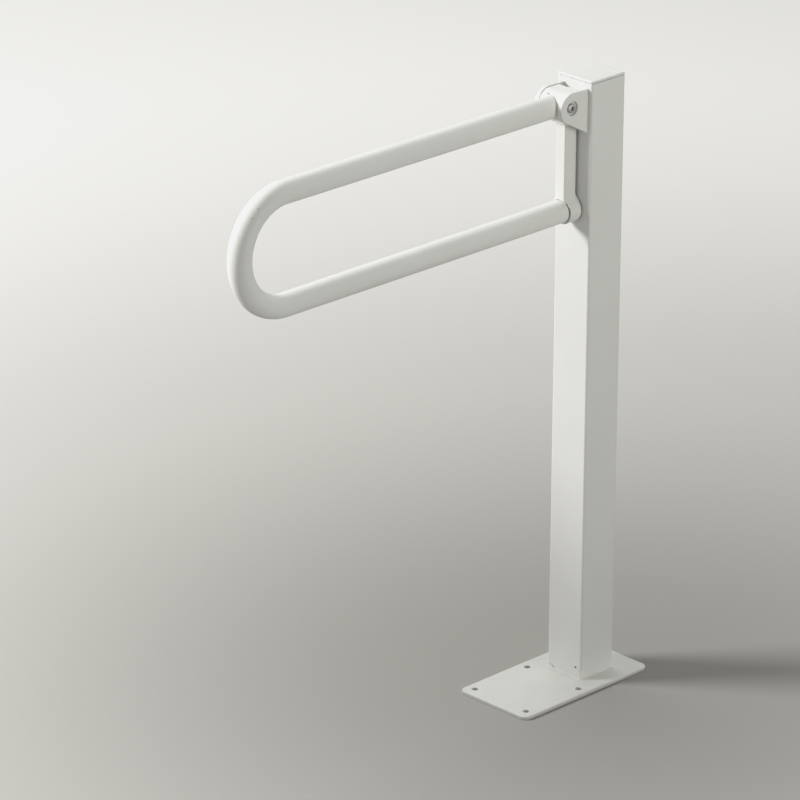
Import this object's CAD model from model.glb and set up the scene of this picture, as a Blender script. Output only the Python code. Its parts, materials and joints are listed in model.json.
"""Looks of a floor-standing toilet support rail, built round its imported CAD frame.

The base plate lies on the floor at z = 0 and the square post stands on it round x = y = 0.
The arm, a U-shaped tube in the plane x = 0, reaches forwards (-y) from a pivot along x, held
between two ears on the post's front face.  Right is +x.  Lengths in the modelling code are
millimetres; meshes, materials, lights and camera are in metres.
"""

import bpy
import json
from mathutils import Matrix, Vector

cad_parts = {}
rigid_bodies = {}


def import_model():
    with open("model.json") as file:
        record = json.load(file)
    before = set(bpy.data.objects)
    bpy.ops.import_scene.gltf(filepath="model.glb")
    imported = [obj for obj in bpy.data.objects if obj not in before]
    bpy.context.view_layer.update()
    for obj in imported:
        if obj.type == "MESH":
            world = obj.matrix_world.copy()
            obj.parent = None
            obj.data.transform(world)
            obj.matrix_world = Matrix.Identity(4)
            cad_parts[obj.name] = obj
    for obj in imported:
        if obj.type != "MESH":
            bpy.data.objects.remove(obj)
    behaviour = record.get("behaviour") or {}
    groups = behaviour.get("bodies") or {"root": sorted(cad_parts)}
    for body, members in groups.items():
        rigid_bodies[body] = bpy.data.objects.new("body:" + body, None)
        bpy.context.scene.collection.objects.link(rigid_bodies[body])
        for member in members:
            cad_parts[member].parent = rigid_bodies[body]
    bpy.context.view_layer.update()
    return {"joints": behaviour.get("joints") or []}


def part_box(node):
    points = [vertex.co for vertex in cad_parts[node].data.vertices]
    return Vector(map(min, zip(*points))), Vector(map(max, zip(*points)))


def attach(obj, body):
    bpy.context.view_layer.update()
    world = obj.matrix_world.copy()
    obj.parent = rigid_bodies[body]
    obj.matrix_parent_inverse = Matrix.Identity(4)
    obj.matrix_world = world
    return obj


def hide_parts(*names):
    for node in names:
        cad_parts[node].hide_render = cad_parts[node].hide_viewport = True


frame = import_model()

import json
import math

import bmesh
import bpy
import numpy as np
from mathutils import Matrix, Vector

MM = 0.001                                    # one millimetre, in metres


def node_box(node):
    """Lowest and highest corner of a CAD node, in millimetres."""
    lo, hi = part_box(node)
    return (np.array(lo) * 1000.0).tolist(), (np.array(hi) * 1000.0).tolist()


# ---------------------------------------------------------------- places, from the frame
_, PIVOT_Y, PIVOT_Z = (np.array(frame["joints"][0]["pos_m"]) * 1000.0).tolist()
PLATE_LO, PLATE_HI = node_box("base_plate")
POST_HI = node_box("post_tube")[1]
EAR_LO, EAR_HI = node_box("hinge_ear_right")
TUBE_LO, TUBE_HI = node_box("arm_tube")
BUFFER_LO, BUFFER_HI = node_box("stop_buffer")
BOLT_LO, BOLT_HI = node_box("pivot_bolt")
NUT_LO, NUT_HI = node_box("pivot_nut")
KNUCKLE_HALF = node_box("hinge_knuckle")[1][0]

PLATE_T = PLATE_HI[2]
POST_HALF = POST_HI[0]                        # half the post's side
POST_TOP = POST_HI[2]
POST_FRONT = -POST_HALF
CAP_TOP = node_box("post_cap")[1][2]
EAR_IN, EAR_OUT = EAR_LO[0], EAR_HI[0]        # x of the right ear's faces
EAR_R = PIVOT_Y - EAR_LO[1]
EAR_LOW = PIVOT_Z - EAR_LO[2]                 # ear's reach at the post, below the pivot
EAR_HIGH = 19.6                               # and above it
RECESS_R, RECESS_DEPTH = 9.5, 3.5             # round recess in each ear's outer face
RECESS_X = EAR_OUT - RECESS_DEPTH             # x of the recess floor

TUBE_R = TUBE_HI[0]
LOW_Z = TUBE_LO[2] + TUBE_R                   # axis of the lower leg
TUBE_END = TUBE_HI[1] + 1.25                  # laps the front of the ring
TIP_Y = TUBE_LO[1] + TUBE_R                   # tube axis at the tip of the loop
SEAL_BACK = node_box("lower_seal_ring")[1][1]

BARREL_X, BARREL_R = 16.9, 19.0
COUNTERBORE_X = BARREL_X - 2.8                # floor of the barrel's counterbores
# the lower boss falls back to its own radius when the barrel governs the node's width
BOSS_R = KNUCKLE_HALF if KNUCKLE_HALF > 17.0 else 17.3
BOSS_FRONT, BOSS_REAR = -50.5, -31.2
SPIGOT_R = 12.6                               # spigots that fill the tube's two ends

DOWN = (0, 0, -1)
# node, y and z of the tube axis, of the screws under the two legs
TUBE_SCREWS = (("lower_tube_screw", -70.0, LOW_Z), ("upper_tube_screw", -97.0, PIVOT_Z))
SCREW_HOLE_R = 2.8
SET_X = -7.0                                  # knuckle set screw: place and direction
SET_ANGLE = math.radians(128.0)               # from +y, about x
SET_DIR = (0, math.cos(SET_ANGLE), math.sin(SET_ANGLE))


# ---------------------------------------------------------------- node helpers
def scaled(colour, *factors):
    """Colour times one factor, or times one factor per channel."""
    if len(factors) == 1:
        factors *= 3
    return tuple(c * k for c, k in zip(colour, factors))


class Shader:
    """Small helper for building a material's node tree."""

    def __init__(self, name, colour):
        self.mat = bpy.data.materials.new(name)
        self.mat.use_nodes = True
        self.tree = self.mat.node_tree
        self.bsdf = self.tree.nodes["Principled BSDF"]
        self.mat.diffuse_color = (*colour, 1.0)
        self.obj = self.add("ShaderNodeTexCoord").outputs["Object"]

    def put(self, socket, value):
        if isinstance(value, bpy.types.NodeSocket):
            self.tree.links.new(value, socket)
        else:
            socket.default_value = (*value, 1.0) if socket.type == 'RGBA' else value

    def add(self, kind, inputs=None, **props):
        """New node; inputs maps socket names or indices to values or sockets."""
        node = self.tree.nodes.new(kind)
        for key, value in props.items():
            setattr(node, key, value)
        for key, value in (inputs or {}).items():
            self.put(node.inputs[key], value)
        return node

    def noise(self, scale, detail=3.0, rough=0.5, vector=None):
        return self.add("ShaderNodeTexNoise", {
            "Vector": vector or self.obj, "Scale": scale, "Detail": detail,
            "Roughness": rough}).outputs["Fac"]

    def voronoi(self, scale, feature='F1', out="Distance"):
        return self.add("ShaderNodeTexVoronoi", {"Vector": self.obj, "Scale": scale},
                        feature=feature).outputs[out]

    def ramp(self, value, span, to=(0.0, 1.0), smooth=True):
        """Map span on to the range to, eased or straight."""
        return self.add("ShaderNodeMapRange", {
            "Value": value, "From Min": span[0], "From Max": span[1],
            "To Min": to[0], "To Max": to[1]},
            interpolation_type='SMOOTHSTEP' if smooth else 'LINEAR').outputs["Result"]

    def math(self, op, a, b=0.0, clamp=False):
        return self.add("ShaderNodeMath", {0: a, 1: b}, operation=op,
                        use_clamp=clamp).outputs[0]

    def times(self, a, b):
        return self.math('MULTIPLY', a, b)

    def plus(self, value, mask, share=None):
        """value + mask, or value + mask * share."""
        return self.math('ADD', value, mask if share is None else self.times(mask, share))

    def mix(self, colour, over, mask, share=None):
        """Lay one colour over another by mask, or by mask * share."""
        if share is not None:
            mask = self.times(mask, share)
        # sockets 6 and 7, and output 2, are the node's colours
        return self.add("ShaderNodeMix", {0: mask, 6: colour, 7: over},
                        data_type='RGBA').outputs[2]

    def axes(self, vector=None):
        return self.add("ShaderNodeSeparateXYZ", {0: vector or self.obj}).outputs

    def mapping(self, scale=(1, 1, 1), loc=(0, 0, 0), rot=(0, 0, 0)):
        return self.add("ShaderNodeMapping", {
            "Vector": self.obj, "Location": loc, "Rotation": rot, "Scale": scale}).outputs[0]

    def bump(self, height, distance, strength, normal=None):
        inputs = {"Strength": strength, "Distance": distance, "Height": height}
        if normal is not None:
            inputs["Normal"] = normal
        return self.add("ShaderNodeBump", inputs).outputs["Normal"]

    def crevice(self, distance):
        """1 in the open, falling towards 0 in gaps and inner corners."""
        return self.add("ShaderNodeAmbientOcclusion", {"Distance": distance},
                        samples=6).outputs["AO"]

    def edge(self, radius):
        """0 on flats, rising on convex and concave edges of about this radius."""
        bevel = self.add("ShaderNodeBevel", {"Radius": radius}, samples=4)
        geometry = self.add("ShaderNodeNewGeometry")
        dot = self.add("ShaderNodeVectorMath", {
            0: bevel.outputs[0], 1: geometry.outputs["Normal"]}, operation='DOT_PRODUCT')
        return self.math('SUBTRACT', 1.0, dot.outputs["Value"], clamp=True)

    def set(self, **values):
        for key, value in values.items():
            self.put(self.bsdf.inputs[key.replace("_", " ")], value)


# ---------------------------------------------------------------- materials
def powder_coat(name, tint=(0.815, 0.815, 0.797), peel=1.0, handled=0.0, foot=0.0,
                gap=0.30):
    """White polyester powder coat: orange peel, faint mottling, thin spots on edges, dust
    in the corners.  peel scales the relief, gap the dust; handled adds smudges to the
    sheen, foot adds floor grime low down."""
    mat = Shader(name, tint)
    deep = scaled(tint, 0.955, 0.955, 0.945)
    mottle = mat.ramp(mat.noise(scale=7.0, detail=4.0, rough=0.55), span=(0.36, 0.66))
    cloud = mat.ramp(mat.noise(scale=42.0), span=(0.40, 0.72))
    col = mat.mix(tint, deep, mottle, share=0.55)
    col = mat.mix(col, deep, cloud, share=0.16)
    # pin-head inclusions, far apart
    speck = mat.times(
        mat.ramp(mat.voronoi(scale=95.0), span=(0.030, 0.045), to=(1.0, 0.0)),
        mat.ramp(mat.noise(scale=60.0, detail=1.0), span=(0.60, 0.66)))
    col = mat.mix(col, over=(0.42, 0.40, 0.36), mask=speck, share=0.35)
    # dust settles in gaps and inner corners
    dust = mat.times(
        mat.ramp(mat.crevice(distance=0.007), span=(0.25, 0.92), to=(1.0, 0.0)),
        mat.ramp(mat.noise(scale=180.0), span=(0.25, 0.75), to=(0.55, 1.0)))
    col = mat.mix(col, over=(0.40, 0.38, 0.335), mask=dust, share=gap)
    if foot:
        low = mat.ramp(mat.axes()["Z"], span=(0.0, 0.030), to=(1.0, 0.0))
        grime = mat.times(low, mat.ramp(mat.noise(scale=38.0, detail=5.0, rough=0.6),
                                        span=(0.40, 0.70)))
        col = mat.mix(col, over=(0.50, 0.47, 0.41), mask=grime, share=foot)
    # the coat thins and polishes on edges
    rim = mat.times(
        mat.ramp(mat.edge(radius=0.0011), span=(0.02, 0.16)),
        mat.ramp(mat.noise(scale=260.0), span=(0.30, 0.62), to=(0.35, 1.0)))
    col = mat.mix(col, over=(0.70, 0.70, 0.68), mask=rim, share=0.14)
    sheen = mat.ramp(mat.noise(scale=16.0, detail=4.0, rough=0.6), span=(0.30, 0.72),
                     to=(0.50, 0.62), smooth=False)
    sheen = mat.plus(sheen, dust, share=0.18)
    sheen = mat.math('SUBTRACT', sheen, mat.times(rim, b=0.10))
    if handled:
        smear = mat.noise(scale=55.0, detail=5.0, rough=0.62,
                          vector=mat.mapping(scale=(1.0, 0.35, 1.0)))
        sheen = mat.plus(sheen, mat.ramp(smear, span=(0.48, 0.66), to=(0.0, 0.16 * handled)))
        wipe = mat.noise(scale=420.0, detail=2.0, vector=mat.mapping(scale=(1.0, 0.06, 1.0)))
        sheen = mat.plus(sheen, mat.ramp(wipe, span=(0.45, 0.80), to=(0.0, 0.05 * handled)))
    # orange peel: millimetre cells over a slower wave, and a fine grain
    wave = mat.bump(mat.noise(scale=130.0, detail=1.0, rough=0.4),
                    distance=0.00012 * peel, strength=0.45)
    cells = mat.bump(mat.noise(scale=620.0, detail=2.0, rough=0.45),
                     distance=0.000055 * peel, strength=0.55, normal=wave)
    fine = mat.bump(mat.noise(scale=2600.0, detail=2.0),
                    distance=0.000010 * peel, strength=0.5, normal=cells)
    mat.set(Base_Color=col, Roughness=sheen, Normal=fine, IOR=1.5, Specular_IOR_Level=0.36,
            Coat_Weight=0.05, Coat_Roughness=0.32)
    return mat.mat


def steel(name, tint, rough, turned=0.0, spangle=0.0, soil=0.6):
    """Bright metal.  turned adds lathe rings about the pivot axis, spangle adds the
    patchy bloom of zinc plating, soil is the strength of the grime in gaps."""
    mat = Shader(name, tint)
    dull = mat.ramp(mat.noise(scale=210.0, detail=4.0, rough=0.6), span=(0.35, 0.70),
                    to=(0.0, 0.55))
    col = mat.mix(tint, scaled(tint, 0.66), dull)
    if spangle:
        grey = mat.add("ShaderNodeRGBToBW", {0: mat.voronoi(scale=330.0, out="Color")})
        col = mat.mix(col, scaled(tint, 0.86, 0.92, 1.06), grey.outputs[0], share=spangle)
    grime = mat.ramp(mat.crevice(distance=0.0025), span=(0.15, 0.80), to=(1.0, 0.0))
    col = mat.mix(col, over=(0.06, 0.055, 0.05), mask=grime, share=soil)
    sheen = mat.ramp(mat.noise(scale=480.0, rough=0.6), span=(0.3, 0.7),
                     to=(rough - 0.07, rough + 0.10), smooth=False)
    sheen = mat.plus(sheen, grime, share=0.25)
    normal = mat.bump(mat.noise(scale=1500.0, rough=0.55), distance=0.000012, strength=0.6)
    if turned:
        place = mat.axes(mat.mapping(loc=(0, -PIVOT_Y * MM, -PIVOT_Z * MM)))
        radius = mat.math('SQRT', mat.plus(mat.math('POWER', place["Y"], b=2.0),
                                           mat.math('POWER', place["Z"], b=2.0)))
        rings = mat.add("ShaderNodeCombineXYZ", {
            "X": mat.times(radius, b=1.0), "Y": mat.times(place["X"], b=0.15)})
        normal = mat.bump(
            mat.noise(scale=3800.0, detail=2.0, rough=0.6, vector=rings.outputs[0]),
            distance=0.00002 * turned, strength=0.7, normal=normal)
    scratch = mat.noise(scale=900.0, detail=2.0,
                        vector=mat.mapping(scale=(1.0, 0.08, 1.0), rot=(0.6, 0.2, 0.9)))
    normal = mat.bump(mat.ramp(scratch, span=(0.60, 0.72)), distance=0.000012, strength=0.5,
                      normal=normal)
    mat.set(Base_Color=col, Metallic=1.0, Roughness=sheen, Normal=normal, Anisotropic=0.35)
    return mat.mat


def nylon(name, tint=(0.78, 0.76, 0.70)):
    """Natural nylon: slightly translucent, with faint yellowing."""
    mat = Shader(name, tint)
    col = mat.mix(tint, over=(0.70, 0.67, 0.60),
                  mask=mat.ramp(mat.noise(scale=90.0, detail=4.0), span=(0.35, 0.7)))
    gaps = mat.ramp(mat.crevice(distance=0.003), span=(0.3, 0.9), to=(0.5, 0.0))
    col = mat.mix(col, over=(0.30, 0.28, 0.24), mask=gaps)
    sheen = mat.ramp(mat.noise(scale=400.0), span=(0.3, 0.7), to=(0.40, 0.56), smooth=False)
    wave = mat.bump(mat.noise(scale=240.0), distance=0.00006, strength=0.4)
    normal = mat.bump(mat.noise(scale=1900.0), distance=0.000015, strength=0.5, normal=wave)
    mat.set(Base_Color=col, Roughness=sheen, Normal=normal, Subsurface_Weight=0.12,
            Subsurface_Radius=(0.0012, 0.0010, 0.0008))
    return mat.mat


def rubber(name, tint=(0.040, 0.040, 0.039)):
    """Dull dark rubber with a film of dust."""
    mat = Shader(name, tint)
    dust = mat.ramp(mat.noise(scale=240.0, detail=4.0, rough=0.6), span=(0.45, 0.75))
    col = mat.mix(tint, over=(0.16, 0.155, 0.145), mask=dust, share=0.35)
    sheen = mat.ramp(mat.noise(scale=520.0), span=(0.3, 0.7), to=(0.62, 0.82), smooth=False)
    normal = mat.bump(mat.noise(scale=2100.0, rough=0.6), distance=0.00003, strength=0.6)
    normal = mat.bump(mat.voronoi(scale=900.0, feature='SMOOTH_F1'), distance=0.00003,
                      strength=0.4, normal=normal)
    mat.set(Base_Color=col, Roughness=sheen, Normal=normal)
    return mat.mat


def moulded(name, tint=(0.835, 0.835, 0.815)):
    """Satin moulded plastic with a spark-eroded grain and faint flow marks."""
    mat = Shader(name, tint)
    flow = mat.noise(scale=24.0, vector=mat.mapping(scale=(1.0, 0.4, 1.0), rot=(0, 0, 0.7)))
    col = mat.mix(tint, scaled(tint, 0.955), mat.ramp(flow, span=(0.35, 0.7), to=(0.0, 0.6)))
    dust = mat.ramp(mat.crevice(distance=0.004), span=(0.25, 0.9), to=(1.0, 0.0))
    col = mat.mix(col, over=(0.42, 0.40, 0.36), mask=dust, share=0.35)
    scuff = mat.noise(scale=140.0, detail=5.0, rough=0.7,
                      vector=mat.mapping(scale=(1.0, 0.2, 1.0), rot=(0, 0, 0.5)))
    scuff = mat.ramp(scuff, span=(0.60, 0.72))
    col = mat.mix(col, over=(0.60, 0.59, 0.56), mask=scuff, share=0.10)
    sheen = mat.ramp(mat.noise(scale=60.0, detail=4.0), span=(0.3, 0.7), to=(0.44, 0.56),
                     smooth=False)
    sheen = mat.plus(sheen, scuff, share=0.10)
    grain = mat.bump(mat.voronoi(scale=1500.0, feature='SMOOTH_F1'), distance=0.00003,
                     strength=0.45)
    normal = mat.bump(mat.noise(scale=90.0, detail=1.0), distance=0.00010, strength=0.3,
                      normal=grain)
    mat.set(Base_Color=col, Roughness=sheen, Normal=normal, IOR=1.47)
    return mat.mat


def bare_bore(name):
    """Walls of the drilled holes: a thin, patchy coat with fine ridges."""
    mat = Shader(name, (0.62, 0.61, 0.59))
    patch = mat.ramp(mat.noise(scale=320.0, detail=5.0, rough=0.65), span=(0.35, 0.68))
    col = mat.mix((0.55, 0.54, 0.51), over=(0.72, 0.71, 0.69), mask=patch)
    sheen = mat.ramp(mat.noise(scale=500.0), span=(0.3, 0.7), to=(0.45, 0.70), smooth=False)
    ridges = mat.noise(scale=700.0, detail=2.0, vector=mat.mapping(scale=(0.2, 0.2, 6.0)))
    normal = mat.bump(ridges, distance=0.00004, strength=0.6)
    mat.set(Base_Color=col, Roughness=sheen, Normal=normal, Metallic=0.0)
    return mat.mat


LOOK = {
    "stand": powder_coat("powder_coat_stand", gap=0.14),
    "foot": powder_coat("powder_coat_foot", tint=(0.755, 0.755, 0.736), foot=0.10),
    "hinge": powder_coat("powder_coat_hinge", peel=0.8, handled=0.3, gap=0.38),
    "arm": powder_coat("powder_coat_arm", tint=(0.845, 0.845, 0.826), peel=0.9, handled=1.0,
                       gap=0.14),
    "cast": powder_coat("powder_coat_casting", tint=(0.810, 0.810, 0.790), peel=1.3,
                        handled=0.3, gap=0.22),
    "weld": powder_coat("powder_coat_weld", peel=1.8, foot=0.30, gap=0.15),
    "spatter": powder_coat("powder_coat_spatter", tint=(0.50, 0.49, 0.46), peel=1.5),
    "bolt": steel("stainless_turned", tint=(0.60, 0.598, 0.575), rough=0.50, turned=1.0,
                  soil=0.70),
    "nut": steel("stainless_satin", tint=(0.60, 0.59, 0.57), rough=0.30, turned=0.4),
    "washer": steel("stainless_washer", tint=(0.56, 0.555, 0.54), rough=0.36, turned=0.7),
    "grub": steel("grub_steel", tint=(0.42, 0.415, 0.40), rough=0.36),
    "set": steel("set_screw_plated", tint=(0.86, 0.86, 0.85), rough=0.50, soil=0.25),
    "zinc": steel("zinc_plate", tint=(0.52, 0.53, 0.545), rough=0.42, spangle=0.45),
    "nylon": nylon("natural_nylon"),
    "rubber": rubber("stop_rubber"),
    "seal": rubber("seal_rubber", tint=(0.21, 0.207, 0.196)),
    "cap": moulded("cap_plastic"),
    "bore": bare_bore("hole_bore"),
}


# ---------------------------------------------------------------- mesh helpers (mm)
def to_object(name, mesh, looks, smooth_angle):
    """Object for a mesh; looks holds keys of LOOK, with spaces between."""
    obj = bpy.data.objects.new(name, mesh)
    bpy.context.scene.collection.objects.link(obj)
    for key in looks.split():
        mesh.materials.append(LOOK[key])
    mesh.shade_smooth()
    if smooth_angle < 180:
        mesh.set_sharp_from_angle(angle=math.radians(smooth_angle))
    return obj


def build(name, shape, looks, smooth_angle=38.0):
    """Object from a bmesh in millimetres, which is used up."""
    bmesh.ops.scale(shape, vec=(MM, MM, MM), verts=shape.verts)
    bmesh.ops.recalc_face_normals(shape, faces=shape.faces)
    mesh = bpy.data.meshes.new(name)
    shape.to_mesh(mesh)
    shape.free()
    return to_object(name, mesh, looks, smooth_angle)


def from_arrays(name, verts, faces, looks, smooth_angle):
    mesh = bpy.data.meshes.new(name)
    mesh.from_pydata((np.asarray(verts) * MM).tolist(), [], faces)
    mesh.validate()
    return to_object(name, mesh, looks, smooth_angle)


def apply_modifiers(obj):
    graph = bpy.context.evaluated_depsgraph_get()
    done = bpy.data.meshes.new_from_object(obj.evaluated_get(graph))
    old = obj.data
    obj.modifiers.clear()
    obj.data = done
    done.name = obj.name
    bpy.data.meshes.remove(old)


def cut(obj, tool, op='DIFFERENCE'):
    """Exact boolean, applied at once; the tool is removed."""
    mod = obj.modifiers.new("cut", 'BOOLEAN')
    mod.operation = op
    mod.solver = 'EXACT'
    mod.object = tool
    mod.material_mode = 'TRANSFER'
    apply_modifiers(obj)
    bpy.data.objects.remove(tool, do_unlink=True)


def cutter(shape, looks, smooth_angle=38.0):
    return build("cutter", shape, looks, smooth_angle)


def mark_bore(tool, is_bore):
    """Give a cutter's faces slot 1 where is_bore holds for their centre, in mm."""
    for poly in tool.data.polygons:
        poly.material_index = 1 if is_bore(poly.center * 1000.0) else 0


def seal(obj, angle):
    """Weld doubled points left by a cut and shade it again."""
    merge = 1e-6
    shape = bmesh.new()
    shape.from_mesh(obj.data)
    bmesh.ops.remove_doubles(shape, verts=shape.verts, dist=merge)
    bmesh.ops.dissolve_degenerate(shape, edges=shape.edges, dist=merge)
    shape.to_mesh(obj.data)
    shape.free()
    obj.data.shade_smooth()
    obj.data.set_sharp_from_angle(angle=math.radians(angle))


def hand_over(obj, body, node):
    """Shade flats flat and fillets round, by area-weighted corner normals, then tell the
    frame what the object is."""
    mod = obj.modifiers.new("even", 'WEIGHTED_NORMAL')
    mod.mode = 'FACE_AREA'
    mod.weight = 60
    mod.keep_sharp = True
    apply_modifiers(obj)
    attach(obj, body)
    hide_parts(node)


def basis(axis, centre):
    """Matrix that lays local z along a world axis."""
    columns = {'X': ((0, 1, 0), (0, 0, 1), (1, 0, 0)),
               'Y': ((0, 0, 1), (1, 0, 0), (0, 1, 0)),
               'Z': ((1, 0, 0), (0, 1, 0), (0, 0, 1))}[axis]
    matrix = Matrix(columns).transposed().to_4x4()
    matrix.translation = Vector(centre)
    return matrix


def along(direction, centre):
    """Matrix that lays local z along any direction."""
    matrix = Vector(direction).to_track_quat('Z', 'Y').to_matrix().to_4x4()
    matrix.translation = Vector(centre)
    return matrix


def lathe(profile, matrix, seg=96, shape=None, phase=0.0):
    """Closed profile of (radius, height) turned about local z."""
    shape = shape or bmesh.new()
    rings = []
    for radius, height in profile:
        if radius < 1e-9:
            rings.append([shape.verts.new(matrix @ Vector((0, 0, height)))])
        else:
            rings.append([shape.verts.new(matrix @ Vector((
                radius * math.cos(phase + 2 * math.pi * i / seg),
                radius * math.sin(phase + 2 * math.pi * i / seg), height)))
                for i in range(seg)])
    for k, ring in enumerate(rings):
        after = rings[(k + 1) % len(rings)]
        if len(ring) == 1 and len(after) == 1:
            continue
        for i in range(seg):
            j = (i + 1) % seg
            if len(ring) == 1:
                shape.faces.new((ring[0], after[i], after[j]))
            elif len(after) == 1:
                shape.faces.new((ring[i], after[0], ring[j]))
            else:
                shape.faces.new((ring[i], after[i], after[j], ring[j]))
    return shape


def rounded_profile(points, radii, steps=4):
    """Closed outline with each corner rounded by its own radius."""
    out = []
    for k, radius in enumerate(radii):
        corner = np.array(points[k], float)
        if radius <= 0:
            out.append(tuple(corner))
            continue
        back = np.array(points[k - 1], float) - corner
        ahead = np.array(points[(k + 1) % len(points)], float) - corner
        len_back, len_ahead = np.linalg.norm(back), np.linalg.norm(ahead)
        back, ahead = back / len_back, ahead / len_ahead
        half = math.acos(max(-1, min(1, float(back @ ahead)))) / 2
        run = min(radius / math.tan(half), len_back * 0.49, len_ahead * 0.49)
        fitted = run * math.tan(half)
        middle = (back + ahead) / np.linalg.norm(back + ahead)
        centre = corner + middle * (fitted / math.sin(half))
        first = corner + back * run - centre
        last = corner + ahead * run - centre
        start = math.atan2(first[1], first[0])
        sweep = (math.atan2(last[1], last[0]) - start + math.pi) % (2 * math.pi) - math.pi
        for i in range(steps + 1):
            angle = start + sweep * i / steps
            out.append((centre[0] + fitted * math.cos(angle),
                        centre[1] + fitted * math.sin(angle)))
    return out


def stacked(loops, closed=False):
    """Skin over loops of equal length; ends are capped unless it closes on itself."""
    shape = bmesh.new()
    rows = [[shape.verts.new(point) for point in loop] for loop in loops]
    count, size = len(rows), len(rows[0])
    for k in range(count if closed else count - 1):
        row, after = rows[k], rows[(k + 1) % count]
        for i in range(size):
            j = (i + 1) % size
            shape.faces.new((row[i], row[j], after[j], after[i]))
    if not closed:
        shape.faces.new(list(reversed(rows[0])))
        shape.faces.new(rows[-1])
    return shape


def rounded_rect(x0, x1, y0, y1, radius, steps):
    points = []
    for x, y, start in ((x1 - radius, y1 - radius, 0), (x0 + radius, y1 - radius, 90),
                        (x0 + radius, y0 + radius, 180), (x1 - radius, y0 + radius, 270)):
        for k in range(steps + 1):
            angle = math.radians(start + 90.0 * k / steps)
            points.append((x + radius * math.cos(angle), y + radius * math.sin(angle)))
    return points


def hex_bar(matrix, stations, phase=0.0):
    """Hexagonal bar along local z through (width across flats, height) stations."""
    loops = []
    for flats, height in stations:
        radius = flats / 2.0 / math.cos(math.radians(30))
        angles = [math.radians(60 * i) + phase for i in range(6)]
        loops.append([tuple(matrix @ Vector((radius * math.cos(a), radius * math.sin(a),
                                             height))) for a in angles])
    return stacked(loops)


def edge_steps(radius, count):
    """(inset, drop) pairs down a rounded edge, from the flat outwards."""
    quarter = [math.pi / 2 * k / count for k in range(count + 1)]
    return [(radius * (1 - math.sin(a)), radius * (1 - math.cos(a))) for a in quarter]


# ---------------------------------------------------------------- distance fields
def rounded_meet(first, second):
    """Intersection of two distances, measured round their shared edge."""
    return (np.minimum(np.maximum(first, second), 0)
            + np.hypot(np.maximum(first, 0), np.maximum(second, 0)))


def d_cyl(points, centre, radius, half, edge=0.0):
    """Round bar along y with its edges rounded."""
    q = points - np.array(centre, float)
    around = np.hypot(q[:, 0], q[:, 2]) - radius
    return rounded_meet(around + edge, np.abs(q[:, 1]) - half + edge) - edge


def d_box(points, lo, hi, edge):
    lo, hi = np.array(lo, float), np.array(hi, float)
    q = np.abs(points - (lo + hi) / 2) - (hi - lo) / 2 + edge
    return np.minimum(q.max(1), 0) + np.linalg.norm(np.maximum(q, 0), axis=1) - edge


def d_rod(points, origin, direction, radius, start, end):
    """Sharp-edged round rod from start to end along any direction."""
    q = points - np.array(origin, float)
    direction = np.array(direction, float)
    run = q @ direction
    around = np.linalg.norm(q - run[:, None] * direction, axis=1) - radius
    return np.maximum(around, np.maximum(start - run, run - end))


def smin(a, b, blend):
    share = np.clip(0.5 + 0.5 * (b - a) / blend, 0, 1)
    return b * (1 - share) + a * share - blend * share * (1 - share)


def smax(a, b, blend):
    return -smin(-a, -b, blend)


def surface_nets(field, lo, hi, step):
    """Surface of field = 0 as quads: one point per crossed cell, then pulled onto it."""
    lo = np.array(lo, float)
    count = np.ceil((np.array(hi, float) - lo) / step).astype(int) + 1
    lines = [lo[k] + step * np.arange(count[k]) for k in range(3)]
    grid = np.stack(np.meshgrid(*lines, indexing='ij'), -1).reshape(-1, 3)
    batch = 400000
    value = np.concatenate([field(grid[s:s + batch]) for s in range(0, len(grid), batch)])
    value = value.reshape(count)
    inside = value < 0
    shape = tuple(count - 1)

    def corner(offset):
        return value[tuple(slice(o, o + size) for o, size in zip(offset, shape))]

    # mean of the crossings on each cell's twelve edges
    total, hits = np.zeros(shape + (3,)), np.zeros(shape)
    for axis in range(3):
        others = [k for k in range(3) if k != axis]
        for i in (0, 1):
            for j in (0, 1):
                start = [0, 0, 0]
                start[others[0]], start[others[1]] = i, j
                end = list(start)
                end[axis] = 1
                near, far = corner(start), corner(end)
                crossed = (near < 0) != (far < 0)
                place = np.zeros(shape + (3,)) + start
                place[..., axis] += np.where(
                    crossed, near / np.where(crossed, near - far, 1.0), 0.0)
                total += place * crossed[..., None]
                hits += crossed
    active = hits > 0
    index = -np.ones(shape, int)
    index[active] = np.arange(active.sum())
    points = lo + (np.argwhere(active) + total[active] / hits[active][:, None]) * step

    # one quad round each crossed grid edge
    quads = []
    for axis in range(3):
        m, n = [k for k in range(3) if k != axis]
        edges = np.argwhere(np.diff(inside, axis=axis))
        edges = edges[(edges[:, m] > 0) & (edges[:, n] > 0) & (edges[:, m] < shape[m]) &
                      (edges[:, n] < shape[n])]
        keep = inside[edges[:, 0], edges[:, 1], edges[:, 2]]
        if axis == 1:
            keep = ~keep
        four = []
        for i, j in ((-1, -1), (0, -1), (0, 0), (-1, 0)):
            cell = edges.copy()
            cell[:, m] += i
            cell[:, n] += j
            four.append(index[cell[:, 0], cell[:, 1], cell[:, 2]])
        four = np.stack(four, 1)
        four[~keep] = four[~keep][:, ::-1]
        quads.append(four)

    probe = 0.02
    for _ in range(5):
        distance = field(points)
        slope = np.empty_like(points)
        for k in range(3):
            shift = np.zeros(3)
            shift[k] = probe
            slope[:, k] = (field(points + shift) - field(points - shift)) / (2 * probe)
        move = distance / np.maximum((slope ** 2).sum(1), 0.05)
        points = points - np.clip(move, -0.6 * step, 0.6 * step)[:, None] * slope
    return points, np.concatenate(quads)


# ================================================================ stand: base plate
PLATE_CORNER_R = 10.0
PLATE_HOLES = [(side * 46.0, y) for side in (-1, 1) for y in (-148.0, -51.0)]


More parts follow.
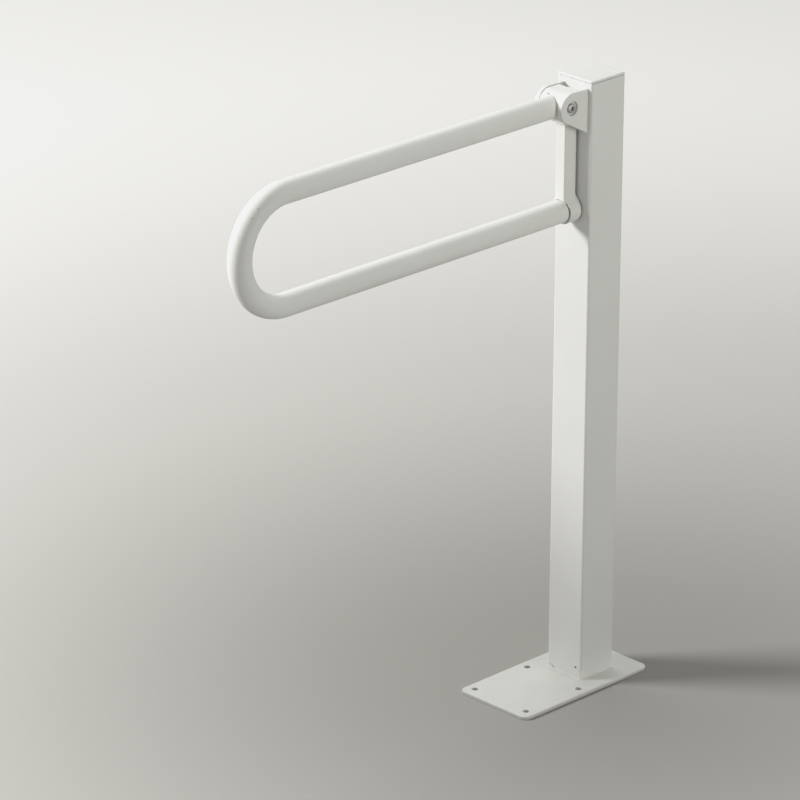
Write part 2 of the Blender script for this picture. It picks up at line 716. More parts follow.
def plate_loop(inset, z):
    return [(x, y, z) for x, y in rounded_rect(
        PLATE_LO[0] + inset, PLATE_HI[0] - inset, PLATE_LO[1] + inset, PLATE_HI[1] - inset,
        PLATE_CORNER_R - inset, steps=14)]


# (inset, z) of the lower edge, then the rounded upper edge
loops = [plate_loop(inset, z) for inset, z in ((0.4, 0.0), (0.12, 0.12), (0.0, 0.4))]
loops += [plate_loop(inset, PLATE_T - drop) for inset, drop in reversed(edge_steps(1.9, 8))]
base_plate = build("base_plate_coated", stacked(loops), "foot bore", 60)
# (radius, z) of a hole with its softened mouth
profile = [(0, -1), (4.25, -1), (4.25, PLATE_T - 0.34), (4.29, PLATE_T - 0.19),
           (4.39, PLATE_T - 0.07), (4.55, PLATE_T + 0.005), (4.55, PLATE_T + 1),
           (0, PLATE_T + 1)]
shape = bmesh.new()
for x, y in PLATE_HOLES:
    lathe(profile, basis('Z', (x, y, 0)), 64, shape)
tool = cutter(shape, "foot bore")
mark_bore(tool, lambda c: c.z < PLATE_T - 0.35 and min(
    math.hypot(c.x - x, c.y - y) for x, y in PLATE_HOLES) < 4.3)
cut(base_plate, tool)
seal(base_plate, angle=42)
hand_over(base_plate, "stand", "base_plate")

# ================================================================ stand: post
POST_R = 3.0                                  # outer corner radius
POST_WALL = 3.0
POST_EDGE = 0.7                               # rounding of the top rim
POST_HOLE_X, POST_HOLE_Z = 20.0, 19.6         # small hole low on the front face


def square(inset, z, radius=POST_R):
    """Loop of the post's section, pulled in by inset."""
    low, high = -POST_HALF + inset, POST_HALF - inset
    return [(x, y, z) for x, y in rounded_rect(low, high, low, high,
                                               max(radius - inset, 0.3), steps=10)]


loops = [square(0.0, z) for z in np.linspace(PLATE_T, POST_TOP - POST_EDGE, 12)]
loops += [square(inset, POST_TOP - drop)
          for inset, drop in reversed(edge_steps(POST_EDGE, 4)[:-1])]
loops += [square(POST_WALL, POST_TOP - 0.1, 4.5), square(POST_WALL, PLATE_T, 4.5)]
post = build("post_tube_coated", stacked(loops, closed=True), "stand bore", 60)
# the hole's axis points forwards; height 1 is the post's face
shape = lathe([(0, -4), (1.5, -4), (1.5, 0.55), (1.62, 0.8), (2.0, 1.01), (2.0, 3), (0, 3)],
              Matrix.Translation((POST_HOLE_X, POST_FRONT + 1.0, POST_HOLE_Z))
              @ Matrix.Rotation(math.pi / 2, 4, 'X'), 28)
tool = cutter(shape, "stand bore")
mark_bore(tool, lambda c: c.y > POST_FRONT + 0.5)
cut(post, tool)
seal(post, angle=42)
hand_over(post, "stand", "post_tube")

# ================================================================ stand: weld at the foot
WELD_STEP = 0.55                              # spacing of sections round the post
WELD_PITCH, WELD_RIPPLE = 2.6, 0.10           # length and height of a ripple
WELD_LEG = 1.55

rng = np.random.default_rng(7)
base_path = rounded_rect(-POST_HALF, POST_HALF, -POST_HALF, POST_HALF, POST_R, steps=8)
path = []
for k in range(len(base_path)):
    here, after = np.array(base_path[k]), np.array(base_path[(k + 1) % len(base_path)])
    count = max(1, int(round(np.linalg.norm(after - here) / WELD_STEP)))
    for i in range(count):
        path.append(here + (after - here) * i / count)
path = np.array(path)
outward = np.roll(path, -1, 0) - np.roll(path, 1, 0)
outward = np.stack([outward[:, 1], -outward[:, 0]], 1)
outward /= np.linalg.norm(outward, axis=1)[:, None]
arc = np.concatenate([[0], np.cumsum(np.linalg.norm(np.diff(path, axis=0), axis=1))])
ripples = WELD_RIPPLE * (1 - np.abs(2 * ((arc / WELD_PITCH) % 1.0) - 1) ** 2.2)
waver = np.interp(arc, np.linspace(0, arc[-1], 29), np.r_[0, rng.normal(0, 0.10, 27), 0])
loops = []
for (x, y), (out_x, out_y), ripple, drift in zip(path, outward, ripples, waver):
    leg = WELD_LEG + ripple + drift * 0.8
    # (outwards, upwards) from the corner of post and plate
    section = [(-0.6, -0.6), (leg + 0.45, -0.6), (leg + 0.12, 0.05),
               (leg * 0.72, 0.17 * leg), (leg * 0.45, 0.34 * leg), (leg * 0.23, 0.62 * leg),
               (0.05, leg), (-0.6, leg + 0.2)]
    loops.append([(x + out_x * out, y + out_y * out, PLATE_T + rise)
                  for out, rise in section])
weld = build("base_weld_bead", stacked(loops, closed=True), "weld", 80)

# x, height over the plate and size of the spatter beads on the post's front face
SPATTER = ((-24.6, 5.4, 0.85), (-20.9, 3.7, 1.05), (-17.4, 2.9, 0.8))
shape = bmesh.new()
for x, rise, size in SPATTER:
    matrix = (Matrix.Translation((x, POST_FRONT - 0.15, PLATE_T + rise))
              @ Matrix.Diagonal((size * 1.3, size * 0.7, size, 1)))
    bmesh.ops.create_uvsphere(shape, u_segments=20, v_segments=12, radius=1.0, matrix=matrix)
spatter = build("weld_spatter", shape, "spatter", 180)
spatter.parent = weld
hand_over(weld, "stand", "base_weld")

# ================================================================ stand: end cap
LID_Z = CAP_TOP - 3.5
SEAM = 0.32                                   # shadow gap between post and lid
SKIRT_Z = LID_Z - 11.0
loops = [square(5.3, LID_Z, 5.6), square(5.3, SKIRT_Z, 5.6), square(3.3, SKIRT_Z, 4.4),
         square(3.3, LID_Z + SEAM, 4.4)]
loops += [square(inset, LID_Z + SEAM + drop) for inset, drop in edge_steps(0.35, 3)]
loops += [square(inset, CAP_TOP - drop) for inset, drop in reversed(edge_steps(0.9, 6))]
loops += [square(5.0, CAP_TOP, 6), square(12.0, CAP_TOP, 12)]
cap = build("post_cap_moulded", stacked(loops), "cap", 60)
hand_over(cap, "stand", "post_cap")

# ================================================================ stand: hinge ears
NOSE_STEPS, RUN_STEPS = 72, 6
EAR_INNER_EDGE, EAR_OUTER_EDGE = 0.22, 0.85
PIVOT_AXIS = basis('X', (0, PIVOT_Y, PIVOT_Z))


def tangent_angle(above, side):
    """Angle on the nose where the line to the post, at this height, touches it."""
    behind = POST_FRONT - PIVOT_Y
    return (math.atan2(above, behind)
            + side * math.acos(EAR_R / math.hypot(behind, above)))


NOSE_TOP = tangent_angle(EAR_HIGH, 1)
NOSE_BOTTOM = tangent_angle(-EAR_LOW, -1) + 2 * math.pi


def ear_run(angle, radius):
    """Points of a straight edge, from the nose back to the post."""
    normal = np.array([math.cos(angle), math.sin(angle)])
    direction = np.array([-normal[1], normal[0]])
    if direction[0] < 0:
        direction = -direction
    start = np.array([PIVOT_Y, PIVOT_Z]) + normal * radius
    length = (POST_FRONT - start[0]) / direction[0]
    return [tuple(start + direction * length * k / RUN_STEPS)
            for k in range(1, RUN_STEPS + 1)]


def ear_outline(inset):
    """Ear outline as (y, z), pulled in by inset everywhere but at the post."""
    radius = EAR_R - inset
    nose = []
    for k in range(NOSE_STEPS + 1):
        angle = NOSE_TOP + (NOSE_BOTTOM - NOSE_TOP) * k / NOSE_STEPS
        nose.append((PIVOT_Y + radius * math.cos(angle), PIVOT_Z + radius * math.sin(angle)))
    return (list(reversed(ear_run(NOSE_TOP, radius))) + nose
            + ear_run(NOSE_BOTTOM, radius))


def hinge_ear(side, name):
    stations = [(inset, EAR_IN + drop) for inset, drop in edge_steps(EAR_INNER_EDGE, 3)]
    stations += [(inset, EAR_OUT - drop)
                 for inset, drop in reversed(edge_steps(EAR_OUTER_EDGE, 5))]
    ear = build("hinge_ear_%s_coated" % name,
                stacked([[(side * x, y, z) for y, z in ear_outline(inset)]
                         for inset, x in stations]), "hinge", 50)
    # (radius, x) of the bolt hole and the recess round it
    profile = [(0, 5.0), (5.4, 5.0), (5.4, RECESS_X - 0.5), (5.9, RECESS_X),
               (RECESS_R - 0.5, RECESS_X), (RECESS_R - 0.15, RECESS_X + 0.15),
               (RECESS_R, RECESS_X + 0.5), (RECESS_R, EAR_OUT - 0.5),
               (RECESS_R + 0.15, EAR_OUT - 0.17), (RECESS_R + 0.55, EAR_OUT + 0.01),
               (RECESS_R + 0.55, 40.0), (0, 40.0)]
    cut(ear, cutter(lathe([(r, side * x) for r, x in profile], PIVOT_AXIS), "hinge"))
    seal(ear, angle=42)
    hand_over(ear, "stand", "hinge_ear_" + name)


def ear_weld(side, name):
    """Rippled bead in the corner of the ear's inner face and the post."""
    count = 90
    loops = []
    for k, z in enumerate(np.linspace(PIVOT_Z - EAR_LOW + 3.5, PIVOT_Z + 15.5, count)):
        taper = min(1.0, 0.25 + 0.22 * min(k, count - 1 - k))
        leg = 2.05 * taper + 0.12 * (1 - abs(2 * ((z / 2.4) % 1.0) - 1) ** 2)
        # (away from the post's middle plane, backwards) from the corner
        section = [(0.5, 0.5), (0.5, -leg), (0.0, -leg), (-0.30 * leg, -0.80 * leg),
                   (-0.55 * leg, -0.52 * leg), (-0.80 * leg, -0.27 * leg), (-leg, 0.0),
                   (-leg, 0.5)]
        loops.append([(side * (EAR_IN + out), POST_FRONT + back, z)
                      for out, back in section])
    bead = build("ear_weld_%s_bead" % name, stacked(loops), "weld", 80)
    hand_over(bead, "stand", "ear_weld_" + name)


for side, name in ((1, "right"), (-1, "left")):
    hinge_ear(side, name)
    ear_weld(side, name)

# ================================================================ stand: pivot bolt
HEAD_IN, HEAD_OUT = RECESS_X + 0.3, BOLT_HI[0]
HEAD_R, HEAD_FLAT_R, HEAD_DOME = 6.15, 3.1, 1.55
SHANK_R, THREAD_R, THREAD_PITCH = 5.0, 4.0, 1.25
BOLT_TAIL = BOLT_LO[0]

profile = [(0, HEAD_OUT), (HEAD_FLAT_R, HEAD_OUT)]
for k in range(9):                            # domed rim of the button head
    angle = math.radians(90.0 * k / 8)
    profile.append((HEAD_FLAT_R + (HEAD_R - HEAD_FLAT_R) * math.sin(angle) ** 0.9,
                    HEAD_OUT - HEAD_DOME + HEAD_DOME * math.cos(angle)))
profile += [(HEAD_R, HEAD_IN + 0.25), (HEAD_R - 0.25, HEAD_IN), (SHANK_R, HEAD_IN),
            (SHANK_R, -RECESS_X + 0.6), (4.7, -RECESS_X + 0.3), (THREAD_R, -RECESS_X + 0.3)]
x = -RECESS_X - 0.2
while x > BOLT_TAIL + 1.6:                    # thread crests on the plain end
    profile += [(THREAD_R, x), (3.45, x - 0.62)]
    x -= THREAD_PITCH
profile += [(THREAD_R, x), (3.2, BOLT_TAIL + 0.1), (0, BOLT_TAIL)]
bolt = build("pivot_bolt_head", lathe(profile, PIVOT_AXIS), "bolt", 30)
socket = hex_bar(PIVOT_AXIS, ((5.4, HEAD_OUT - 2.2), (5.4, HEAD_OUT - 0.2),
                              (5.7, HEAD_OUT + 0.02), (5.7, HEAD_OUT + 1)), phase=0.18)
cut(bolt, cutter(socket, "bolt", 20))
drill_point = [(0, HEAD_OUT - 2.7), (2.2, HEAD_OUT - 1.95), (0, HEAD_OUT - 1.90)]
cut(bolt, cutter(lathe(drill_point, PIVOT_AXIS, 36), "bolt", 20))
seal(bolt, angle=28)
hand_over(bolt, "stand", "pivot_bolt")

# ================================================================ stand: springs, nut, washers
BORE_R = 4.35                                 # bore of springs, nut washer and nut


def turned_part(node, suffix, profile, matrix, look, body, seg=96, angle=40):
    part = build(node + suffix, lathe(profile, matrix, seg), look, angle)
    hand_over(part, body, node)


SPRING_R, SPRING_CONE, SPRING_T = 8.2, 0.5, 0.9
for node, bore_drop, rim_drop in (("disc_spring_inner", SPRING_CONE, 0.0),
                                  ("disc_spring_outer", 0.0, SPRING_CONE)):
    right = node_box(node)[1][0]
    corners = [(BORE_R, right - bore_drop), (SPRING_R, right - rim_drop),
               (SPRING_R, right - rim_drop - SPRING_T),
               (BORE_R, right - bore_drop - SPRING_T)]
    turned_part(node, "_plated", rounded_profile(corners, [0.2] * 4), PIVOT_AXIS, "zinc",
                "stand")


def washer(node, suffix, bore, rim, radii, look):
    lo, hi = node_box(node)
    corners = [(bore, lo[0]), (rim, lo[0]), (rim, hi[0]), (bore, hi[0])]
    turned_part(node, suffix, rounded_profile(corners, radii), PIVOT_AXIS, look, "stand")


washer("nut_washer", "_plated", bore=BORE_R, rim=8.0, radii=(0.1, 0.35, 0.2, 0.1),
       look="zinc")

NUT_X, NUT_END = NUT_HI[0], NUT_LO[0]
DOME_R, DOME_X = 6.1, NUT_X - 5.9
# hexagon with turned corners, then the dome
nut = build("pivot_nut_domed", hex_bar(PIVOT_AXIS, ((13.0, NUT_X), (13.0, NUT_X - 5.6)),
                                       phase=math.radians(30)), "nut", 25)
chamfers = [(0, NUT_X + 0.01), (6.3, NUT_X + 0.01), (7.55, NUT_X - 0.75),
            (7.55, NUT_X - 4.75), (6.5, NUT_X - 5.62), (0, NUT_X - 5.62)]
cut(nut, cutter(lathe(chamfers, PIVOT_AXIS), "nut", 25), 'INTERSECT')
dome = [(0, NUT_END)]
for k in range(1, 13):
    angle = math.radians(90.0 * k / 12)
    dome.append((DOME_R * math.sin(angle), DOME_X - (DOME_X - NUT_END) * math.cos(angle)))
dome += [(DOME_R, NUT_X - 5.0), (0, NUT_X - 5.0)]
cut(nut, cutter(lathe(dome, PIVOT_AXIS), "nut", 60), 'UNION')
bore = [(0, NUT_X - 7.4), (BORE_R, NUT_X - 7.4), (BORE_R, NUT_X - 0.4),
        (BORE_R + 0.4, NUT_X + 1), (0, NUT_X + 1)]
cut(nut, cutter(lathe(bore, PIVOT_AXIS, 64, phase=0.03), "nut"))
seal(nut, angle=30)
hand_over(nut, "stand", "pivot_nut")

for node in ("thrust_washer_right", "thrust_washer_left"):
    washer(node, "_steel", bore=5.3, rim=12.5, radii=(0.15, 0.3, 0.3, 0.15), look="washer")

# ================================================================ arm: knuckle casting
WEDGE_R = 25.2                                # reach of the wedge below and behind the barrel


def polar(radius, degrees):
    angle = math.radians(degrees)
    return radius * np.array([math.cos(angle), math.sin(angle)])


WEDGE_START = polar(BARREL_R, 300)            # ends of the wedge's lower face, as (y, z)
wedge_edge = polar(WEDGE_R, -6) - WEDGE_START
WEDGE_NORMAL = np.array([wedge_edge[1], -wedge_edge[0]]) / np.linalg.norm(wedge_edge)


def knuckle(points):
    """Distance field of the whole casting."""
    behind, above = points[:, 1] - PIVOT_Y, points[:, 2] - PIVOT_Z
    from_pivot = np.hypot(behind, above)
    from_side = np.abs(points[:, 0]) - (BARREL_X + 0.3)
    # barrel round the pivot, with the wedge
    wedge = smax(smax(from_pivot - WEDGE_R, above - BARREL_R, 1.2),
                 (behind - WEDGE_START[0]) * WEDGE_NORMAL[0]
                 + (above - WEDGE_START[1]) * WEDGE_NORMAL[1], 1.2)
    section = np.minimum(from_pivot - BARREL_R, np.maximum(wedge, -behind))
    edge = 0.4
    barrel = rounded_meet(section + edge, from_side + edge) - edge
    # bar down to the boss, with a saddle that clears the tube and its ring
    bar = d_box(points, (-8.0, -54.0, LOW_Z), (8.0, -33.0, PIVOT_Z - 6), 1.5)
    from_leg = np.hypot(points[:, 0], points[:, 2] - LOW_Z)
    saddle = np.maximum(from_leg - (TUBE_R + 1.6), points[:, 1] - BOSS_FRONT)
    bar = smax(bar, -saddle, 1.0)
    boss = d_cyl(points, (0, (BOSS_FRONT + BOSS_REAR) / 2, LOW_Z), BOSS_R,
                 (BOSS_REAR - BOSS_FRONT) / 2, 1.5)
    body = smin(bar, boss, 7.5)
    # the blend may not swell past the boss's own faces
    body = smax(body, points[:, 1] - BOSS_REAR, 0.8)
    body = np.where(points[:, 2] < LOW_Z + 12,
                    smax(body, BOSS_FRONT - 0.15 - points[:, 1], 0.8), body)
    body = smin(body, barrel, 3.0)
    body = np.where(from_pivot < 32, np.maximum(body, from_side), body)
    # spigots into the lower and upper tube ends: y of the middle, z, half length
    for y, z, half in ((-67.0, LOW_Z, 17.4), (-88.0, PIVOT_Z, 23.4)):
        body = np.minimum(body, d_cyl(points, (0, y, z), SPIGOT_R, half, 1.0))
    # cuts: pivot bore with counterbores, buffer seat, screws
    bore = np.minimum(from_pivot - 6.9, np.maximum(
        from_pivot - 13.5, COUNTERBORE_X - np.abs(points[:, 0])))
    body = smax(body, -bore, 0.3)
    seat = d_cyl(points, (0, BOSS_REAR + 1.0, LOW_Z), 9.3, 4.0)
    body = smax(body, -seat, 0.4)
    set_hole = d_rod(points, (SET_X, PIVOT_Y, PIVOT_Z), SET_DIR, 1.66, 9.5, 24.0)
    body = smax(body, -set_hole, 0.15)
    for _, y, z in TUBE_SCREWS:
        body = np.maximum(body, -d_rod(points, (0, y, z), DOWN, SCREW_HOLE_R, 4.0, 14.0))
    return body


verts, quads = surface_nets(knuckle, (-18.5, -113.5, LOW_Z - 19.5),
                            (18.5, -29.0, PIVOT_Z + 21.5), step=0.8)
casting = from_arrays("hinge_knuckle_cast", verts, quads.tolist(), "cast", 50)
hand_over(casting, "arm", "hinge_knuckle")

# ================================================================ arm: U tube
BEND_R = (PIVOT_Z - LOW_Z) / 2.0
BEND_Y, BEND_Z = TIP_Y + BEND_R, LOW_Z + BEND_R
TUBE_SEG, BEND_STEPS, LEG_STEPS = 96, 110, 60
WALL = 2.0
SADDLE_R = BARREL_R + 0.3                     # the upper end is notched round the barrel
UPPER_START = PIVOT_Y - 26.0                  # where plain rings begin behind the notch
EDGE_MID, EDGE_R = 0.13, 0.45                 # softened rims: middle and full inset
# small dimples near the tip: degrees round the bend, degrees round the tube
DIMPLES = ((38.0, 45.0), (47.0, 45.0), (34.0, 78.0), (42.5, 80.0))


def bend_point(angle):
    return BEND_Y - BEND_R * math.sin(angle), BEND_Z + BEND_R * math.cos(angle)


def tube_ring(radius, y, z, angle):
    turn = 2 * math.pi * np.arange(TUBE_SEG) / TUBE_SEG
    normal_y, normal_z = -math.sin(angle), math.cos(angle)
    return np.stack([radius * np.sin(turn), y + normal_y * radius * np.cos(turn),
                     z + normal_z * radius * np.cos(turn)], 1)


def saddle_ring(radius, back=0.0):
    """Loop where the tube of this radius meets the barrel, pulled away by back."""
    turn = 2 * math.pi * np.arange(TUBE_SEG) / TUBE_SEG
    rise = radius * np.cos(turn)
    y = PIVOT_Y - np.sqrt(np.maximum(SADDLE_R ** 2 - rise ** 2, 0.0)) - back
    return np.stack([radius * np.sin(turn), y, PIVOT_Z + rise], 1)


# stations along the axis: y, z, angle turned so far
path = [(y, PIVOT_Z, 0.0) for y in np.linspace(UPPER_START, BEND_Y, LEG_STEPS)[:-1]]
for k in range(BEND_STEPS + 1):
    angle = math.pi * k / BEND_STEPS
    path.append((*bend_point(angle), angle))
path += [(y, LOW_Z, math.pi) for y in np.linspace(BEND_Y, TUBE_END - 0.5, LEG_STEPS)[1:]]

notch = saddle_ring(TUBE_R, EDGE_R)
first_ring = tube_ring(TUBE_R, *path[0])
rows = [saddle_ring(TUBE_R - EDGE_R), saddle_ring(TUBE_R - EDGE_MID, EDGE_MID), notch]
rows += [notch * (1 - share) + first_ring * share for share in (0.33, 0.66)]
rows += [tube_ring(TUBE_R, *station) for station in path]
rows += [tube_ring(TUBE_R - inset, TUBE_END - back, LOW_Z, math.pi)
         for inset, back in ((EDGE_MID, EDGE_MID), (EDGE_R, 0.0), (WALL, 0.0))]
rows += [tube_ring(TUBE_R - WALL, *station) for station in reversed(path)]
rows += [saddle_ring(TUBE_R - WALL)]
index = np.arange(len(rows) * TUBE_SEG).reshape(len(rows), TUBE_SEG)
beside = np.roll(index, -1, axis=1)
faces = np.stack([index, beside, np.roll(beside, -1, axis=0), np.roll(index, -1, axis=0)],
                 -1).reshape(-1, 4)
tube = from_arrays("arm_tube_coated", np.concatenate(rows), faces.tolist(), "arm bore", 60)
shape = bmesh.new()
shape.from_mesh(tube.data)
bmesh.ops.recalc_face_normals(shape, faces=shape.faces)
shape.to_mesh(tube.data)
shape.free()

shape = bmesh.new()
screw_hole = [(0, 10.0), (SCREW_HOLE_R, 10.0), (SCREW_HOLE_R, TUBE_R - 0.25),
              (3.1, TUBE_R + 0.01), (3.1, 20), (0, 20)]
for _, y, z in TUBE_SCREWS:
    lathe(screw_hole, along(DOWN, (0, y, z)), 32, shape)
dimple = [(0, TUBE_R - 0.85), (0.6, TUBE_R - 0.72), (1.0, TUBE_R - 0.40),
          (1.15, TUBE_R - 0.18), (1.4, TUBE_R + 0.02), (1.4, 20), (0, 20)]
for bend_degrees, turn_degrees in DIMPLES:
    angle, turn = math.radians(bend_degrees), math.radians(turn_degrees)
    normal = Vector((0, -math.sin(angle), math.cos(angle)))
    direction = normal * math.cos(turn) + Vector((1, 0, 0)) * math.sin(turn)
    lathe(dimple, along(direction, (0, *bend_point(angle))), 20, shape)
tool = cutter(shape, "arm bore")
# screw holes show the thin coat, dimples near the tip the full one
mark_bore(tool, lambda c: c.y > -400.0)
cut(tube, tool)
seal(tube, angle=45)
hand_over(tube, "arm", "arm_tube")

# ================================================================ arm: seal, buffer, bushes
LEG_AXIS = basis('Y', (0, 0, LOW_Z))
SEAL_R, SEAL_BORE = TUBE_R + 0.15, SPIGOT_R + 0.3
corners = [(SEAL_BORE, TUBE_END + 0.02), (SEAL_R, TUBE_END + 0.02), (SEAL_R, SEAL_BACK),
           (SEAL_BORE, SEAL_BACK)]
turned_part("lower_seal_ring", "_rubber", rounded_profile(corners, [0, 0.3, 0.3, 0], steps=5),
            LEG_AXIS, "seal", "arm", seg=128, angle=50)

BUFFER_R = BUFFER_HI[0]
BUFFER_FRONT, BUFFER_BACK = BUFFER_LO[1], BUFFER_HI[1]
# (inset from the rim, distance ahead of the back) across the dished back face
BUFFER_BACK_FACE = ((0, 0.9), (0.25, 0.35), (0.9, 0.02), (2.2, 0), (2.6, 0.35), (3.4, 0.45))
profile = [(0, BUFFER_FRONT), (BUFFER_R - 0.3, BUFFER_FRONT), (BUFFER_R, BUFFER_FRONT + 0.3)]
profile += [(BUFFER_R - inset, BUFFER_BACK - drop) for inset, drop in BUFFER_BACK_FACE]
profile += [(3.2, BUFFER_BACK - 0.45), (2.6, BUFFER_BACK - 0.3), (2.0, BUFFER_BACK - 0.12),
            (0, BUFFER_BACK - 0.1)]
turned_part("stop_buffer", "_rubber", profile, LEG_AXIS, "rubber", "arm",
            seg=72, angle=50)

BUSH_BORE, BUSH_R, BUSH_FLANGE_R = 5.35, 6.55, 12.8
FLANGE_IN = COUNTERBORE_X + 0.3
FLANGE_OUT = FLANGE_IN + 1.5
for side, node in ((1, "bush_right"), (-1, "bush_left")):
    corners = [(BUSH_BORE, side * FLANGE_OUT), (BUSH_FLANGE_R, side * FLANGE_OUT),
               (BUSH_FLANGE_R, side * FLANGE_IN), (BUSH_R, side * FLANGE_IN),
               (BUSH_R, side * 1.0), (BUSH_BORE, side * 1.0)]
    turned_part(node, "_moulded", rounded_profile(corners, [0.3, 0.3, 0.15, 0.0, 0.2, 0.2]),
                PIVOT_AXIS, "nylon", "arm", angle=50)


# ================================================================ arm: screws
def grub(node, matrix, start, end, radius, flats, look, deep):
    """Headless socket screw with its thread crests showing."""
    profile = [(0, start), (radius * 0.55, start), (radius - 0.1, start + 0.5)]
    height = start + 0.6
    while height < end - 0.75:
        profile += [(radius, height), (radius - 0.22, height + 0.28)]
        height += 0.56
    profile += [(radius, end - 0.35), (radius - 0.3, end), (0, end)]
    screw = build(node + "_socket", lathe(profile, matrix, 40), look, 30)
    socket = hex_bar(matrix, ((flats, end - deep), (flats, end - 0.2),
                              (flats * 1.12, end + 0.01), (flats * 1.12, end + 1)))
    cut(screw, cutter(socket, look, 20))
    seal(screw, angle=28)
    hand_over(screw, "arm", node)


for node, y, z in TUBE_SCREWS:
    grub(node, along(DOWN, (0, y, z)), start=5.0, end=14.4, radius=2.45, flats=2.5,
         look="grub", deep=2.0)
grub("knuckle_set_screw", along(SET_DIR, (SET_X, PIVOT_Y, PIVOT_Z)), start=10.0, end=18.85,
     radius=1.6, flats=1.2, look="set", deep=0.9)

# ---------------------------------------------------------------- floor (metres from here)
FLOOR_HALF = 14.0


def floor_material():
    """Pale floor, darker near the stand and paler far off; it bounces less light than
    the camera sees."""
    mat = Shader("pale_floor", (0.78, 0.77, 0.75))
    camera_ray = mat.add("ShaderNodeLightPath").outputs["Is Camera Ray"]
    grain = mat.ramp(mat.noise(scale=700.0, rough=0.6), span=(0.35, 0.70))
    distance = mat.add("ShaderNodeVectorMath", {0: mat.obj},
                       operation='LENGTH').outputs["Value"]
    near = mat.ramp(distance, span=(0.10, 1.05))
    far = mat.ramp(distance, span=(0.75, 2.6))
    seen = mat.mix((0.330, 0.324, 0.302), over=(0.580, 0.574, 0.547), mask=near)
    seen = mat.mix(seen, over=(0.835, 0.829, 0.800), mask=far)
    seen = mat.mix(seen, over=(0.30, 0.29, 0.26), mask=grain, share=0.10)
    bounce = mat.mix((0.16, 0.155, 0.145), over=(0.50, 0.495, 0.475),
                     mask=mat.ramp(distance, span=(0.1, 1.7)))
    mat.set(Base_Color=mat.mix(bounce, seen, camera_ray), Roughness=0.85,
            Emission_Color=(1.0, 0.993, 0.968),
            Emission_Strength=mat.times(mat.times(camera_ray, far), b=0.19),
            Normal=mat.bump(mat.noise(scale=900.0), distance=0.0002, strength=0.3))
    return mat.mat


pale_floor = floor_material()
shape = bmesh.new()
bmesh.ops.create_grid(shape, x_segments=8, y_segments=8, size=1.0)
mesh = bpy.data.meshes.new("floor")
shape.to_mesh(mesh)
shape.free()
mesh.transform(Matrix.Scale(FLOOR_HALF, 4))
floor = bpy.data.objects.new("floor", mesh)
mesh.materials.append(pale_floor)
bpy.context.scene.collection.objects.link(floor)

# ---------------------------------------------------------------- world
world = bpy.data.worlds.new("studio")
bpy.context.scene.world = world
world.use_nodes = True
nodes, links = world.node_tree.nodes, world.node_tree.links
glow = nodes["Background"]
glow.inputs["Color"].default_value = (1.0, 0.996, 0.968, 1.0)
glow.inputs["Strength"].default_value = 0.31
# the backdrop itself is paler than the light it gives
backdrop = nodes.new("ShaderNodeBackground")
backdrop.inputs["Color"].default_value = (0.80, 0.795, 0.770, 1.0)
backdrop.inputs["Strength"].default_value = 0.95
light_path = nodes.new("ShaderNodeLightPath")
blend = nodes.new("ShaderNodeMixShader")
links.new(light_path.outputs["Is Camera Ray"], blend.inputs[0])
links.new(glow.outputs[0], blend.inputs[1])
links.new(backdrop.outputs[0], blend.inputs[2])
links.new(blend.outputs[0], nodes["World Output"].inputs["Surface"])


# ---------------------------------------------------------------- lights
def area(name, where, target, size, power, colour):
    """Round area light turned towards target."""
    light = bpy.data.lights.new(name, 'AREA')
    light.shape = 'DISK'
    light.size = size
    light.energy = power
    light.color = colour
    light.spread = math.pi
    lamp = bpy.data.objects.new(name, light)
    lamp.location = where
    aim = Vector(target) - Vector(where)
    lamp.rotation_euler = aim.to_track_quat('-Z', 'Y').to_euler()
    bpy.context.scene.collection.objects.link(lamp)
    return lamp


# the key stands in front, to the left: angle round z from -y, elevation, distance
KEY_TURN, KEY_RISE, KEY_DISTANCE = math.radians(-46.0), math.radians(28.0), 3.6
KEY_AIM = Vector((0.0, -0.2, 0.6))
KEY_COLOUR = (1.0, 0.995, 0.985)
key_at = KEY_AIM + KEY_DISTANCE * Vector((
    math.sin(KEY_TURN) * math.cos(KEY_RISE), -math.cos(KEY_TURN) * math.cos(KEY_RISE),
    math.sin(KEY_RISE)))
key = area("key", key_at, KEY_AIM, size=1.15, power=137.0, colour=KEY_COLOUR)
key_floor = area("key_floor", key_at + (key_at - KEY_AIM) * 0.6, KEY_AIM, size=1.9,
                 power=330.0, colour=KEY_COLOUR)
# broad, weak light on the shaded side, and a little from above
fill = area("side", where=(1.8, 0.25, 0.92), target=(0.0, 0.0, 0.84), size=0.9, power=10.6,
            colour=(1.0, 1.0, 0.945))
top = area("top", where=(-1.1, 0.6, 3.9), target=(0.0, 0.0, 0.8), size=2.0, power=35.0,
           colour=(1.0, 0.998, 0.985))

# a scrim low down between key and post: the light weakens towards the floor
SCRIM_HALF, SCRIM_DISTANCE = 0.75, 0.60
SCRIM_LOW, SCRIM_HIGH = 0.20, 0.56
mat = Shader("scrim", (0.5, 0.5, 0.5))
clear = mat.add("ShaderNodeBsdfTransparent", {"Color": (0.45, 0.45, 0.45)})
mat.put(mat.tree.nodes["Material Output"].inputs["Surface"], clear.outputs[0])
mesh = bpy.data.meshes.new("scrim")
across = Vector((math.cos(KEY_TURN), math.sin(KEY_TURN), 0.0)) * SCRIM_HALF
middle = Vector((math.sin(KEY_TURN), -math.cos(KEY_TURN), 0.0)) * SCRIM_DISTANCE
corners = [tuple(middle + side * across + Vector((0, 0, z))) for side, z in (
    (-1, SCRIM_LOW), (1, SCRIM_LOW), (1, SCRIM_HIGH), (-1, SCRIM_HIGH))]
mesh.from_pydata(corners, [], [(0, 1, 2, 3)])
mesh.materials.append(mat.mat)
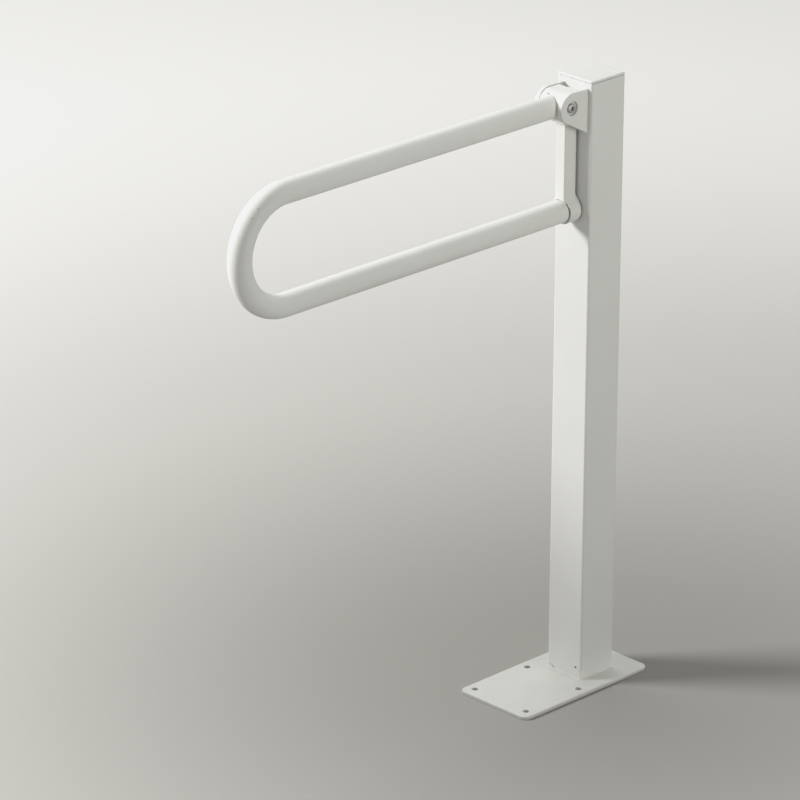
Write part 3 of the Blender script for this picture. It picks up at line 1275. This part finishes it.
scrim = bpy.data.objects.new("scrim", mesh)
bpy.context.scene.collection.objects.link(scrim)
for ray in ("camera", "diffuse", "glossy", "transmission", "volume_scatter"):
    setattr(scrim, "visible_" + ray, False)

# the scrim weakens the light on the object only, not on the open floor
rail = bpy.data.collections.new("rail")
ground = bpy.data.collections.new("ground")
casters = bpy.data.collections.new("casters")
for obj in bpy.context.scene.objects:
    if obj.type == 'MESH' and obj not in (floor, scrim):
        rail.objects.link(obj)
        casters.objects.link(obj)
ground.objects.link(floor)
key.light_linking.receiver_collection = rail
fill.light_linking.receiver_collection = rail
key_floor.light_linking.receiver_collection = ground
for lamp in (key_floor, fill, top):
    lamp.light_linking.blocker_collection = casters

# ---------------------------------------------------------------- camera
CAMERA_AT = (3.99877, -4.26533, 2.73627)
VIEW = Vector((-0.66103925, 0.65031981, -0.37431437)).normalized()
ROLL = math.radians(0.262)
cam_data = bpy.data.cameras.new("camera")
cam_data.sensor_width = 36.0
cam_data.lens = 222.108
cam_data.clip_start = 0.1
cam_data.clip_end = 100.0
camera = bpy.data.objects.new("camera", cam_data)
bpy.context.scene.collection.objects.link(camera)
level = VIEW.cross(Vector((0, 0, 1))).normalized()
upright = level.cross(VIEW)
right = level * math.cos(ROLL) + upright * math.sin(ROLL)
up = upright * math.cos(ROLL) - level * math.sin(ROLL)
camera.matrix_world = Matrix([(right[k], up[k], -VIEW[k], CAMERA_AT[k]) for k in range(3)]
                             + [(0, 0, 0, 1)])
bpy.context.scene.camera = camera

# ---------------------------------------------------------------- tone
view = bpy.context.scene.view_settings
view.view_transform = 'Standard'
view.look = 'None'
# soft shoulder, so that bright white coat keeps its shape: (level, level shown)
SHOULDER = ((0.45, 0.45), (0.78, 0.78), (0.92, 0.872), (1.12, 0.922), (1.45, 0.962))
view.use_curve_mapping = True
tone = view.curve_mapping
tone.use_clip = False
curve = tone.curves[3]
curve.points[-1].location = (2.2, 1.0)
for light_in, shown in SHOULDER:
    curve.points.new(light_in, shown)
tone.update()
